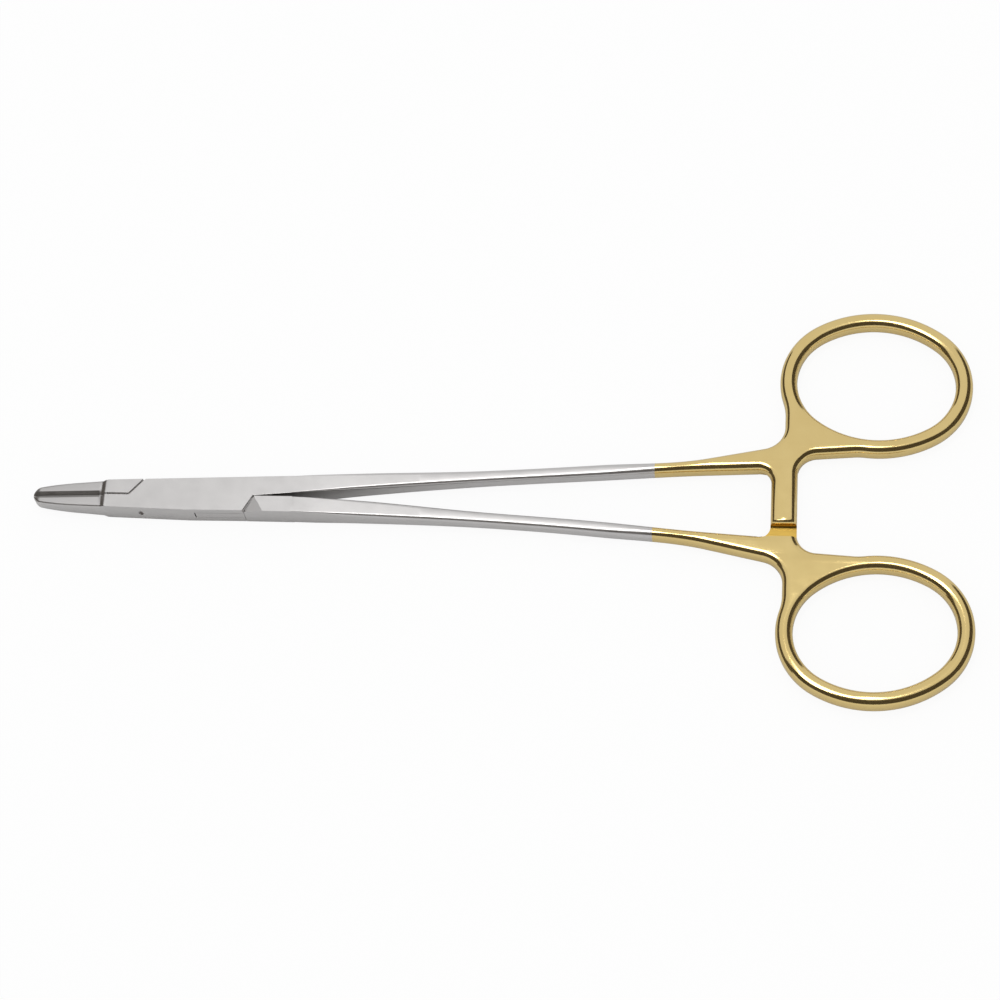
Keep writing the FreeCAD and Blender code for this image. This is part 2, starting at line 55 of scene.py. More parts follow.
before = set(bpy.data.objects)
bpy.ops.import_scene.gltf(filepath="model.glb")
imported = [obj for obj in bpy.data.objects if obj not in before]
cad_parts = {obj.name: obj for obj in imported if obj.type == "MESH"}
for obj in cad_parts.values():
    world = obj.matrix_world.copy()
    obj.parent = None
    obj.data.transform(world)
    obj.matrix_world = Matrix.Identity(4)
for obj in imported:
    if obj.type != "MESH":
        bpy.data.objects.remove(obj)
CAD_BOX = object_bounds()
MM = 0.001
PIN_LOW, PIN_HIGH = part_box("lock_pin")
PIN_X = (PIN_LOW.x + PIN_HIGH.x) / 2
MID_Z = (PIN_LOW.z + PIN_HIGH.z) / 2
RING_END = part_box("box_half")[1].x
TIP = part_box("box_half")[0].x
RIM_STEPS = 7
NOSE_STEPS = 24
JAW_STEPS = 60
SHOULDER_STEPS = 16
SHANK_STEPS = 150
GILT_STEPS = 30
MARK_STEPS = 32
WELD = 0.0005 * MM
OUTLINE_STEP = 0.3 * MM
FLOOR_REACH = 2.0

# Corners of the dark cards that the metal mirrors, in metres: in front, beyond the tip and beyond the rings
CARDS = {
    "front_card": [(-1.0, -0.6, 0.3), (1.4, -0.6, 0.3), (1.4, -0.02, 0.72), (-1.0, -0.02, 0.72)],
    "tip_card": [(-0.2, -0.12, 0.0), (-0.2, 0.35, 0.0), (-0.2, 0.35, 0.18), (-0.2, -0.12, 0.18)],
    "side_card": [(0.9, -0.3, 0.1), (0.9, 1.3, 0.1), (0.7, 1.2, 1.2), (0.7, -0.2, 1.2)],
}

# The two halves: their node, their insert's node and the body they ride on.
# The lower half is the upper one turned half a turn about the long axis.
HALVES = {
    "upper": {"node": "box_half", "insert": "box_jaw_insert", "body": "box_side"},
    "lower": {"node": "tongue_half", "insert": "tongue_jaw_insert", "body": "tongue_side"},
}


def length(name, description, size_mm):
    """A property that holds a length, given here in millimetres."""
    return bpy.props.FloatProperty(
        name=name, description=description, default=size_mm * MM, unit="LENGTH", precision=5
    )


def lengths(name, description, sizes_mm):
    """A property that holds several lengths, given here in millimetres."""
    defaults = tuple(size_mm * MM for size_mm in sizes_mm)
    return bpy.props.FloatVectorProperty(
        name=name, description=description, default=defaults, size=len(defaults), unit="LENGTH"
    )


def share(name, description, default):
    """A property that holds a share or a plain number."""
    return bpy.props.FloatProperty(name=name, description=description, default=default, precision=4)


def turn(name, description, degrees):
    """A property that holds an angle, given here in degrees."""
    return bpy.props.FloatProperty(
        name=name, description=description, default=math.radians(degrees), subtype="ANGLE"
    )


def linear(code):
    """Linear red, green and blue of an sRGB hex colour."""
    parts = np.array([int(code[i : i + 2], 16) for i in (1, 3, 5)]) / 255
    return tuple(np.where(parts <= 0.04045, parts / 12.92, ((parts + 0.055) / 1.055) ** 2.4))


def colour(name, description, code):
    """A property that holds a colour, given here as sRGB hex."""
    return bpy.props.FloatVectorProperty(
        name=name, description=description, default=linear(code), subtype="COLOR", size=3, min=0, max=1
    )


class NeedleRingSizes(bpy.types.PropertyGroup):
    """The two finger rings."""

    hole_length: length("Hole length", "Inside of a finger ring along its longer way", 25.1)
    hole_width: length("Hole width", "Inside of a finger ring across", 20.1)
    side_flattening: length("Side flattening", "How much tighter the ring's ends bend than a circle", 1.15)
    bar_width: length("Bar width", "Width of the ring's bar seen from above", 2.7)
    centre_offset: length("Centre offset", "From the middle line to a ring's centre", 21.45)
    turned: turn("Turn", "How far each ring leans towards the jaws' side", 4.4)
    height: length("Handle height", "Thickness of rings, hub and arm", 3.0)
    rim_round: length("Rim rounding", "Radius of the rounded rims", 1.2)


class NeedleHubSizes(bpy.types.PropertyGroup):
    """Where the shank, the ratchet arm and the ring meet."""

    length: length("Hub length", "From the shank's end to the ring", 11.0)
    depth: length("Hub depth", "From the ring's base line to the window between the shanks", 2.9)
    outer_inset: length("Outer inset", "How far the hub's outer side lies inside the ring's end", 0.95)
    outer_rise: length("Outer rise", "From the ring's base line up to the hub's outer corner", 1.6)
    inner_drop: length("Inner drop", "From the ring's base line down to the hub's inner corner", 0.5)
    inner_sink: length("Inner sink", "How deep the hub's base runs into the ring", 0.4)
    window_round: length("Window rounding", "Radius between shank and arm", 2.0)
    outer_round: length("Outer rounding", "Radius between shank and ring", 4.0)
    inner_round: length("Inner rounding", "Radius between arm and ring", 3.2)
    ring_blend: length("Ring blend", "Radius where the hub's sides run into the ring", 9.0)
    arm_setback: length("Arm setback", "From the ring's end back to the arm", 1.05)
    arm_width: length("Arm width", "Width of the ratchet arm", 4.1)
    arm_overlap: length("Arm overlap", "How far an arm reaches past the middle line", 3.75)
    arm_root_drop: length("Arm root drop", "From the window's line to the step in thickness", -0.15)
    arm_gap: length("Arm gap", "Air between the two arms", 0.12)
    tooth_pitch: length("Tooth pitch", "Spacing of the ratchet teeth", 1.2)
    tooth_depth: length("Tooth depth", "Depth of the ratchet teeth", 0.55)
    tooth_setback: length("Tooth setback", "From the arm's tip to its first tooth", 0.5)
    tooth_count: bpy.props.IntProperty(name="Teeth", description="Ratchet teeth on an arm", default=3, min=1)


class NeedleShankSizes(bpy.types.PropertyGroup):
    """The springy bars. Each set of five runs from the lock to the hub."""

    start: length("Start", "From the pin to the shank's root", 17.0)
    gilt_start: length("Gilt start", "From the middle of the object to where the gold plating starts", 25.0)
    shares: bpy.props.FloatVectorProperty(
        name="Stations", description="Where the sizes hold, as shares of the shank", size=5,
        default=(0, 0.16, 0.44, 0.74, 1),
    )
    upper_offsets: lengths(
        "Upper offsets", "Middle of the upper shank from the middle line",
        (1.92, 2.83, 4.05, 5.4, 6.65),
    )
    lower_offsets: lengths(
        "Lower offsets", "Middle of the lower shank from the middle line",
        (1.58, 1.95, 3.05, 4.5, 6.3),
    )
    widths: lengths("Widths", "Width of a shank seen from above", (2.83, 2.8, 2.05, 2.05, 2.5))
    upper_root_width: length("Upper root width", "Width of the upper shank at the lock", 2.96)
    lower_root_width: length("Lower root width", "Width of the lower shank at the lock", 2.7)
    heights: lengths("Heights", "Thickness of a shank", (4.0, 3.3, 2.6, 2.6, 3.0))
    roundings: lengths("Roundings", "Radius of a shank's long edges", (0.14, 0.5, 0.65, 0.75, 1.2))


class NeedleLockSizes(bpy.types.PropertyGroup):
    """The box lock, measured from the pin except where it says otherwise."""

    front: length("Front", "From the tip to where the lock starts", 12.3)
    edge_width: length("Edge break", "Width of the broken edges of the lock", 0.12)
    joint_edge_width: length("Joint edge break", "Width of the broken edges along the slanted joints", 0.24)
    height: length("Height", "Thickness of the lock", 4.0)
    facet_reach: length("Facet reach", "From the pin to the far corner of the ground facet", 12.4)
    facet_drop: length("Facet drop", "How far the facet falls at the joint's outer end", 0.7)
    joint_outer: lengths(
        "Rear joint, outer end", "From the pin, where the rear joint meets the near side", (9.28, -2.85)
    )
    joint_inner: lengths(
        "Rear joint, inner end", "From the pin, where the rear joint meets the window", (10.78, -0.21)
    )
    front_joint: lengths(
        "Front joint", "Ends of the open front joint, from the pin",
        (-9.6, -0.06, -7.0, 2.98),
    )
    rear_joint: lengths(
        "Rear joint", "Ends of the open rear joint, from the pin",
        (9.04, -3.21, 10.74, -0.15),
    )
    slot_width: length("Slot width", "Width of the open joints", 0.34)
    slot_depth: length("Slot depth", "Depth of the open joints", 0.6)
    lip_height: length("Lip height", "Thickness of the lips that close the tongue's slot", 1.58)
    edge_angle: turn("Edge angle", "Edges sharper than this are broken", 35)
    seam_joint: lengths(
        "Seam joint", "The open joint from the jaws to the front joint, from the pin",
        (-13.15, -0.03, -9.6, -0.06),
    )
    crease: turn("Crease", "Smallest angle between two faces that shows as an edge", 5)
    mark_reach: length("Mark reach", "From the pin forward to the punch mark on the near side", 7.7)
    mark_side: length("Mark side", "From the middle line to the side that carries the mark", 2.588)
    mark_width: length("Mark width", "Width of the punch mark", 0.84)
    mark_height: length("Mark height", "Height of the punch mark", 1.5)


class NeedleJawSizes(bpy.types.PropertyGroup):
    """The jaws with their carbide inserts, measured from the tip."""

    stations: lengths("Stations", "Where the widths hold, from the tip", (0, 1.2, 2.5, 4.1, 6.5, 9.0, 12.3))
    widths: lengths("Widths", "From the seam to the outer side", (1.2, 1.42, 1.64, 1.84, 2.06, 2.2, 2.4))
    nose_round: length("Nose rounding", "Radius of the nose seen from above", 1.2)
    nose_drop: share("Nose drop", "Share of the thickness that the nose loses at its very tip", 0.35)
    tip_height: length("Tip height", "Thickness near the tip", 2.1)
    root_height: length("Root height", "Thickness at the shoulder", 3.45)
    edge_round: length("Edge rounding", "Radius of the long outer edges", 0.38)
    seam: length("Seam", "From the middle line to a mating face", 0.03)
    shoulder_start: length("Shoulder start", "Where the ground shoulder starts", 11.25)
    shoulder_end: length("Shoulder end", "Where the shoulder meets the lock's face", 12.1)
    groove_width: length("Groove width", "From the middle line to where a jaw's bevelled insert ends", 0.57)
    groove_depth: length("Groove depth", "How far the inserts' bevels fall towards the seam", 0.34)
    insert_start: length("Insert start", "From the tip to the insert", 0.25)
    insert_end: length("Insert end", "From the tip to the end of the insert", 11.0)
    serration_pitch: length("Serration pitch", "Spacing of the crossed serrations", 0.6)
    serration_depth: length("Serration depth", "Depth of the crossed serrations", 0.12)
    step: length("Step", "Spacing of the points of a mating face", 0.06)


class NeedleLook(bpy.types.PropertyGroup):
    """Finishes and light."""

    steel: colour("Steel", "Satin stainless steel", "#DFDDDC")
    steel_dark: colour("Steel, darker", "The darker clouds of the satin finish", "#D6D4D3")
    steel_roughness: share("Steel roughness", "Roughness of the bead-blasted satin finish", 0.34)
    gold: colour("Gold", "Polished gold plating", "#F3DA98")
    gold_deep: colour("Gold, deeper", "The deeper clouds of the plating", "#EBCF8B")
    gold_roughness: share("Gold roughness", "Roughness of the polished plating", 0.13)
    gold_milled: colour("Gold, milled", "Gold plating on the milled ratchet", "#D3AE55")
    gold_milled_roughness: share("Milled gold roughness", "Roughness of the plating on the ratchet", 0.3)
    carbide: colour("Carbide", "Ground tungsten carbide", "#B9B7B5")
    carbide_roughness: share("Carbide roughness", "Roughness of the ground carbide", 0.42)
    card: colour("Card", "Dark grey cards beside the light", "#625C56")
    floor: colour("Floor", "Pale floor as the camera sees it", "#FAFAFA")
    floor_shade: colour("Floor, shaded", "The same floor as the metal mirrors it", "#DCDCDC")
    floor_white: share("Floor white", "Share of plain white in the floor that the camera sees", 0.92)
    room: share("Room", "Brightness of the pale room as the metal mirrors it", 0.72)
    lamp_place: lengths("Lamp place", "Middle of the soft box", (-50, 50, 600))
    lamp_size: lengths("Lamp size", "Length and width of the soft box", (300, 120))
    lamp_power: share("Lamp power", "Power of the soft box in watts", 0.66)


class NeedleCameraSizes(bpy.types.PropertyGroup):
    """Where the camera stands."""

    distance: length("Distance", "From the camera to the point it aims at", 480)
    target: lengths("Target", "The point it aims at", (0.33, 1.43, 0))
    elevation: turn("Elevation", "Above the floor", 63.34)
    azimuth: turn("Azimuth", "Round the object from the front", 14.73)
    roll: turn("Roll", "Lean of the camera", 12.6)
    lens: bpy.props.FloatProperty(name="Lens", description="Focal length in millimetres", default=108.4)


def sizes(group):
    """One of the add-on's property groups in this scene."""
    return getattr(bpy.context.scene, "needle_" + group)


# Shapes


def curve_through(stations, values, at, end_slope=None, start_slope=None):
    """A smooth curve through the values: between two stations a cubic that has the slope of the chord of
    its neighbours at each of them, and slopes of choice at the first and the last."""
    stations = np.asarray(stations, float)
    values = np.asarray(values, float)
    slopes = np.gradient(values, stations)
    if end_slope is not None:
        slopes[-1] = end_slope
    if start_slope is not None:
        slopes[0] = start_slope
    place = np.clip(np.searchsorted(stations, at, side="right") - 1, 0, len(stations) - 2)
    span = stations[place + 1] - stations[place]
    t = (np.asarray(at) - stations[place]) / span
    rise = values[place + 1] - values[place]
    start = slopes[place] * span
    end = slopes[place + 1] * span
    return values[place] + t * (start + t * (3 * rise - 2 * start - end + t * (start + end - 2 * rise)))


def ring_edges():
    """X of a ring's end towards the jaws and Y of its side towards the middle line, before it is turned."""
    ring = sizes("ring")
    left = RING_END - ring.hole_length - 2 * ring.bar_width
    return left, ring.centre_offset - ring.hole_width / 2 - ring.bar_width


def shank_reach():
    """X of the shank's two ends."""
    return PIN_X + sizes("shank").start, ring_edges()[0] - sizes("hub").length


def shank_shape(half, x):
    """Middle line, width, thickness and edge radius of a shank at X, each a curve through five stations."""
    bar = sizes("shank")
    first, last = shank_reach()
    stations = first + np.array(bar.shares) * (last - first)
    widths = np.array(bar.widths)
    widths[0] = getattr(bar, half + "_root_width")
    offsets = getattr(bar, half + "_offsets")
    outer, inner = hub_corners(half)
    upper_slope = (outer[1] - offsets[4] - widths[4] / 2) / (outer[0] - last)
    lower_slope = (inner[1] - offsets[4] + widths[4] / 2) / (inner[0] - last)
    middle = curve_through(stations, offsets, x, (upper_slope + lower_slope) / 2)
    width = curve_through(stations, widths, x, upper_slope - lower_slope)
    height = curve_through(stations, bar.heights, x, 0, 0)
    rounding = curve_through(stations, bar.roundings, x, 0, 0)
    return middle, width, height, rounding


def hub_corners(half):
    """The hub's outer corner, between shank and ring, and its window corner, between shank and arm."""
    hub = sizes("hub")
    left, base = ring_edges()
    outer = np.array([left + hub.outer_inset, base + hub.outer_rise])
    window = np.array([left - hub.arm_setback, base - hub.depth])
    return outer, window


def arc(centre, start, end, clockwise):
    """Points of the arc about a centre from start to end, both kept, at most an outline step apart."""
    first = math.atan2(*(start - centre)[::-1])
    sweep = (math.atan2(*(end - centre)[::-1]) - first) % (2 * math.pi)
    if clockwise:
        sweep -= 2 * math.pi
    radius = np.linalg.norm(start - centre)
    count = max(3, math.ceil(abs(sweep) * radius / OUTLINE_STEP))
    angle = first + sweep * np.linspace(0, 1, count + 1)
    return centre + radius * np.stack([np.cos(angle), np.sin(angle)], axis=1)


def corner(before, at, after, radius):
    """Arc that rounds a clockwise corner: it touches both sides at radius / tan(half the angle)."""
    u = (before - at) / np.linalg.norm(before - at)
    v = (after - at) / np.linalg.norm(after - at)
    half = math.acos(float(u @ v)) / 2
    reach = radius / math.tan(half)
    centre = at + (u + v) / np.linalg.norm(u + v) * radius / math.sin(half)
    return arc(centre, at + u * reach, at + v * reach, True)


def blend(foot, along, outward, ring_centre, ring_radius, radius):
    """The circle that touches a line and a ring's arc from outside, as its centre and its touching points on
    line and arc. The centre is on the line's parallel at one radius, and at the sum of both radii from the
    ring's centre."""
    start = foot + outward * radius - ring_centre
    p = float(along @ start)
    q = float(start @ start) - (ring_radius + radius) ** 2
    centre = start + along * (-p - math.sqrt(p * p - q)) + ring_centre
    on_ring = centre + (ring_centre - centre) * radius / (ring_radius + radius)
    return centre, centre - outward * radius, on_ring


def ring_arcs():
    """Centres and radii of the four arcs of a ring's hole: right, top, left and bottom."""
    ring = sizes("ring")
    middle = np.array([RING_END - ring.hole_length / 2 - ring.bar_width, ring.centre_offset])
    along = np.array([math.cos(ring.turned), -math.sin(ring.turned)])
    across = np.array([math.sin(ring.turned), math.cos(ring.turned)])
    end_round = ring.hole_width / 2 - ring.side_flattening
    reach = ring.hole_length / 2 - end_round
    side_round = (reach**2 + (ring.hole_width / 2) ** 2 - end_round**2) / (2 * ring.side_flattening)
    rise = side_round - ring.hole_width / 2
    return [
        (middle + along * reach, end_round),
        (middle - across * rise, side_round),
        (middle - along * reach, end_round),
        (middle + across * rise, side_round),
    ]


def ring_joints(grown):
    """Points where the arcs meet: right to top, top to left, left to bottom and bottom to right."""
    arcs = ring_arcs()
    joints = []
    for end, side in ((0, 1), (2, 1), (2, 3), (0, 3)):
        away = arcs[end][0] - arcs[side][0]
        joints.append(arcs[end][0] + away / np.linalg.norm(away) * (arcs[end][1] + grown))
    return joints


def handle_outline(half):
    """Plan of the gilt part, anticlockwise: along the shank's inner edge, round the arm, round the ring
    and back along the shank's outer edge."""
    ring, hub, bar = sizes("ring"), sizes("hub"), sizes("shank")
    outer, window = hub_corners(half)
    base = ring_edges()[1]
    arm_right = window[0] + hub.arm_width
    inner = np.array([arm_right, base - hub.inner_drop])
    ring_x = RING_END - ring.hole_length / 2 - ring.bar_width
    sunk = np.array([ring_x, base + hub.inner_sink])
    arcs = ring_arcs()
    top_right, top_left, bottom_left, bottom_right = ring_joints(ring.bar_width)

    x = np.linspace(bar.gilt_start, shank_reach()[1], GILT_STEPS)
    middle, width = shank_shape(half, x)[:2]
    inner_edge = np.stack([x, middle - width / 2], axis=1)
    outer_edge = np.stack([x, middle + width / 2], axis=1)[::-1]
    tip_left = np.array([window[0], -hub.arm_overlap])
    tip_right = np.array([arm_right, -hub.arm_overlap])

    along = (sunk - inner) / np.linalg.norm(sunk - inner)
    outward = np.array([along[1], -along[0]])
    low, low_radius = arcs[3][0], arcs[3][1] + ring.bar_width
    low_blend, low_start, low_end = blend(inner, along, outward, low, low_radius, hub.ring_blend)

    side_way = np.array([0.0, 1.0])
    side_out = np.array([-1.0, 0.0])
    left, left_radius = arcs[2][0], arcs[2][1] + ring.bar_width
    side_blend, side_end, side_start = blend(outer, side_way, side_out, left, left_radius, hub.ring_blend)

    parts = [
        inner_edge,
        corner(inner_edge[-1], window, tip_left, hub.window_round),
        [tip_left, tip_right],
        corner(tip_right, inner, sunk, hub.inner_round),
        arc(low_blend, low_start, low_end, True),
        arc(low, low_end, bottom_right, False)[1:],
        arc(arcs[0][0], bottom_right, top_right, False)[1:],
        arc(arcs[1][0], top_right, top_left, False)[1:],
        arc(left, top_left, side_start, False)[1:],
        arc(side_blend, side_start, side_end, True)[1:],
        corner(side_end, outer, outer_edge[0], hub.outer_round),
        outer_edge,
    ]
    return np.vstack(parts)


def hole_outline():
    """Plan of a ring's hole, clockwise, so that the metal lies on its left."""
    joints = ring_joints(0)
    arcs = ring_arcs()
    order = [(0, 3), (1, 0), (2, 1), (3, 2)]
    parts = [arc(arcs[item][0], joints[before], joints[item], False)[:-1] for item, before in order]
    return np.vstack(parts)[::-1]


def inward(outline, flat_end):
    """The way each point of an outline moves when the outline shrinks by one: the sum of both sides'
    normals over one plus their product. At a flat end it stays in the end's own plane."""
    side = np.roll(outline, -1, axis=0) - outline
    side /= np.linalg.norm(side, axis=1)[:, None]
    normal = np.stack([-side[:, 1], side[:, 0]], axis=1)
    before = np.roll(normal, 1, axis=0)
    move = (normal + before) / (1 + np.sum(normal * before, axis=1))[:, None]
    if flat_end:
        move[0] = [0, 1 / normal[0, 1]]
        move[-1] = [0, 1 / normal[-2, 1]]
    return move


def rim_rows(outline, move, half_height, rounding):
    """A rim carried along an outline, as a grid of points: quarter circle, wall and quarter circle."""
    angle = np.linspace(math.pi / 2, 0, RIM_STEPS + 1)
    depth = 1 - np.cos(angle)
    drop = 1 - np.sin(angle)
    inset = np.concatenate([depth, depth[::-1]])[None, :] * rounding[:, None]
    low = -half_height[:, None] + drop[None, :] * rounding[:, None]
    z = np.concatenate([low, -low[:, ::-1]], axis=1)
    x = outline[:, 0, None] + move[:, 0, None] * inset
    y = outline[:, 1, None] + move[:, 1, None] * inset
    return np.stack([x, y, z], axis=2)


def strip_faces(count, rows, first, closed):
    """Quads of a grid of points, with its columns joined into a ring if closed."""
    i = np.arange(count if closed else count - 1)[:, None]
    j = np.arange(rows - 1)[None, :]
    after = (i + 1) % count
    quads = np.stack(
        np.broadcast_arrays(i * rows + j, after * rows + j, after * rows + j + 1, i * rows + j + 1), axis=-1
    )
    return (first + quads.reshape(-1, 4)).tolist()


def cap_faces(loops, columns):
    """Triangles of the flat face between an outline and its holes, facing up."""
    flat = [[Vector((p[0], p[1], 0)) for p in loop] for loop in loops]
    points = np.vstack(loops)[:, :2]
    corners = np.array(tessellate_polygon(flat))
    a, b, c = (points[corners[:, k]] for k in range(3))
    area = (b[:, 0] - a[:, 0]) * (c[:, 1] - a[:, 1]) - (b[:, 1] - a[:, 1]) * (c[:, 0] - a[:, 0])
    corners[area < 0] = corners[area < 0][:, ::-1]
    return columns[corners]


def placed(name, data):
    """A new object that holds the data, linked to the scene."""
    obj = bpy.data.objects.new(name, data)
    bpy.context.scene.collection.objects.link(obj)
    return obj


def mesh_object(name, points, faces, half=None):
    """A mesh object whose points are given about the middle plane, turned half a turn for the lower half."""
    points = np.asarray(points, float).reshape(-1, 3).copy()
    if half == "lower":
        points[:, 1:] *= -1
    points[:, 2] += MID_Z
    mesh = bpy.data.meshes.new(name)
    mesh.from_pydata(points.tolist(), [], faces)
    mesh.validate()
    return placed(name, mesh)


def tidy_mesh(obj):
    """Merges points that fall together and turns all faces outward."""
    bm = bmesh.new()
    bm.from_mesh(obj.data)
    bmesh.ops.remove_doubles(bm, verts=bm.verts, dist=WELD)
    bmesh.ops.recalc_face_normals(bm, faces=bm.faces)
    bm.to_mesh(obj.data)
    bm.free()


def carried(name, rows, half, capped=(True, True)):
    """A closed skin over a row of sections, each given as the same number of points in order round it."""
    count, around = rows.shape[:2]
    i = np.arange(count - 1)[:, None]
    j = np.arange(around)[None, :]
    after = (j + 1) % around
    here, ahead = i * around, (i + 1) * around
    quads = np.stack(np.broadcast_arrays(here + j, here + after, ahead + after, ahead + j), axis=-1)
    faces = quads.reshape(-1, 4).tolist()
    for wanted, row in zip(capped, (0, count - 1)):
        if wanted:
            faces.append([row * around + k for k in range(around)])
    obj = mesh_object(name, rows, faces, half)
    tidy_mesh(obj)
    return obj


def sections(x, y, z):
    """Points of a row of sections across X."""
    return np.stack([np.broadcast_to(x[:, None], y.shape), y, z], axis=2)


def smooth_metal(obj, crease=math.radians(35)):
    """Smooth shading that keeps edges sharper than the crease sharp and flat faces flat."""
    obj.data.shade_smooth()
    obj.data.set_sharp_from_angle(angle=crease)
    weighted = obj.modifiers.new("flat faces", "WEIGHTED_NORMAL")
    weighted.keep_sharp = True
    weighted.weight = 100


def cut_away(obj, cutter):
    """Takes one closed mesh out of another and removes the cutter."""
    carve = obj.modifiers.new("cut", "BOOLEAN")
    carve.operation = "DIFFERENCE"
    carve.solver = "EXACT"
    carve.object = cutter
    carved = bpy.data.meshes.new_from_object(obj.evaluated_get(bpy.context.evaluated_depsgraph_get()))
    obj.modifiers.clear()
    obj.data = carved
    bpy.data.objects.remove(cutter)


def handle(half):
    """Gilt end of the shank, hub, ratchet arm and finger ring, as one plate with rounded rims."""
    ring, bar = sizes("ring"), sizes("shank")
    outline = handle_outline(half)
    hole = hole_outline()
    end = shank_reach()[1]
    x = np.minimum(outline[:, 0], end)
    height, rounding = shank_shape(half, np.maximum(x, bar.gilt_start))[2:]
    plain = outline[:, 0] >= end
    half_height = np.where(plain, ring.height, height) / 2
    rounding = np.where(plain, ring.rim_round, rounding)
    outer_rows = rim_rows(outline, inward(outline, True), half_height, rounding)
    even = np.ones(len(hole))
    hole_rows = rim_rows(hole, inward(hole, False), even * ring.height / 2, even * ring.rim_round)
    rows = outer_rows.shape[1]
    count = len(outline)
    points = np.vstack([outer_rows.reshape(-1, 3), hole_rows.reshape(-1, 3)])
    faces = strip_faces(count, rows, 0, False)
    faces += strip_faces(len(hole), rows, count * rows, True)
    columns = np.arange(count + len(hole)) * rows
    for k, order in ((rows - 1, 1), (0, -1)):
        faces += cap_faces([outer_rows[:, k], hole_rows[:, k]], columns + k)[:, ::order].tolist()
    first_column = list(range(rows))
    last_column = [(count - 1) * rows + j for j in range(rows)]
    faces.append(first_column + last_column[::-1])
    plate = mesh_object(half + "_handle", points, faces, half)
    cut_away(plate, arm_cutter(half))
    smooth_metal(plate)
    plate.data.materials.append(polished_gold())
    plate.data.materials.append(milled_gold())
    teeth = sizes("hub").tooth_depth + sizes("hub").arm_gap
    for face in plate.data.polygons:
        flat = abs(face.normal.z) > 0.5 and abs(face.center.z - MID_Z) < teeth
        face.material_index = 1 if flat else 0
    return plate


def arm_cutter(half):
    """What is taken from under the ratchet arm: a prism along X, shaped by the step and the saw teeth."""
    hub = sizes("hub")
    window = hub_corners(half)[1]
    level = hub.arm_gap / 2
    root = window[1] - hub.arm_root_drop
    past_tip = -(hub.arm_overlap + hub.tooth_pitch)
    deep = -2 * sizes("ring").height
    steep = -(hub.arm_overlap - hub.tooth_setback)
    starts = steep + np.arange(hub.tooth_count) * hub.tooth_pitch
    teeth = np.stack(
        [
            np.repeat(starts, 3) + np.tile([0, 0, hub.tooth_pitch], hub.tooth_count),
            np.tile([level, level + hub.tooth_depth, level], hub.tooth_count),
        ],
        axis=1,
    )
    profile = np.vstack([[[past_tip, deep], [past_tip, level]], teeth, [[root, level], [root, deep]]])
    keep = np.append(True, np.linalg.norm(np.diff(profile, axis=0), axis=1) > 1e-9)
    profile = profile[keep]
    count = len(profile)
    sides = [window[0] - hub.arm_width / 2, window[0] + 3 * hub.arm_width / 2]
    points = [[x, y, z] for x in sides for y, z in profile]
    around = np.arange(count)
    after = (around + 1) % count
    faces = np.stack([around + count, after + count, after, around], axis=1).tolist()
    faces += [around.tolist(), (around + count)[::-1].tolist()]
    return mesh_object("arm_cutter", points, faces, half)


def shank(half):
    """Steel bar: a rectangle with round corners carried along the shank's middle line."""
    bar = sizes("shank")
    x = np.linspace(shank_reach()[0], bar.gilt_start, SHANK_STEPS)
    middle, width, height, rounding = shank_shape(half, x)
    angle = np.linspace(0, math.pi / 2, RIM_STEPS + 1)
    quarters = np.concatenate([angle + k * math.pi / 2 for k in range(4)])
    right = np.repeat([1, -1, -1, 1], RIM_STEPS + 1)
    up = np.repeat([1, 1, -1, -1], RIM_STEPS + 1)
    y = middle[:, None] + right * (width / 2 - rounding)[:, None] + np.cos(quarters) * rounding[:, None]
    z = up * (height / 2 - rounding)[:, None] + np.sin(quarters) * rounding[:, None]
    obj = carried(half + "_shank", sections(x, y, z), half)
    smooth_metal(obj)
    return obj


def jaw_shape(reach):
    """Half width, half thickness, edge radius, groove width and groove depth of a jaw at a distance from its
    tip. The nose is a quarter circle seen from above, and the shoulder rises to the lock's face by
    3 t^2 - 2 t^3."""
    jaw, lock = sizes("jaw"), sizes("lock")
    nose = 1 - np.clip(reach / jaw.nose_round, 0, 1)
    swell = np.sqrt(1 - nose**2)
    t = np.clip((reach - jaw.shoulder_start) / (jaw.shoulder_end - jaw.shoulder_start), 0, 1)
    rise = t * t * (3 - 2 * t)
    width = jaw.seam + (curve_through(jaw.stations, jaw.widths, reach) - jaw.seam) * swell
    taper = np.clip(reach / jaw.shoulder_start, 0, 1)
    thickness = jaw.tip_height + (jaw.root_height - jaw.tip_height) * taper
    height = thickness / 2 * (1 - jaw.nose_drop * nose**2)
    height += (lock.height / 2 - height) * rise
    rounding = (jaw.edge_round + (lock.edge_width - jaw.edge_round) * rise) * swell
    groove = jaw.groove_width + (jaw.seam + lock.edge_width - jaw.groove_width) * rise
    groove = jaw.seam + (groove - jaw.seam) * swell
    depth = (jaw.groove_depth + (lock.edge_width - jaw.groove_depth) * rise) * swell
    return width, height, rounding, groove, depth


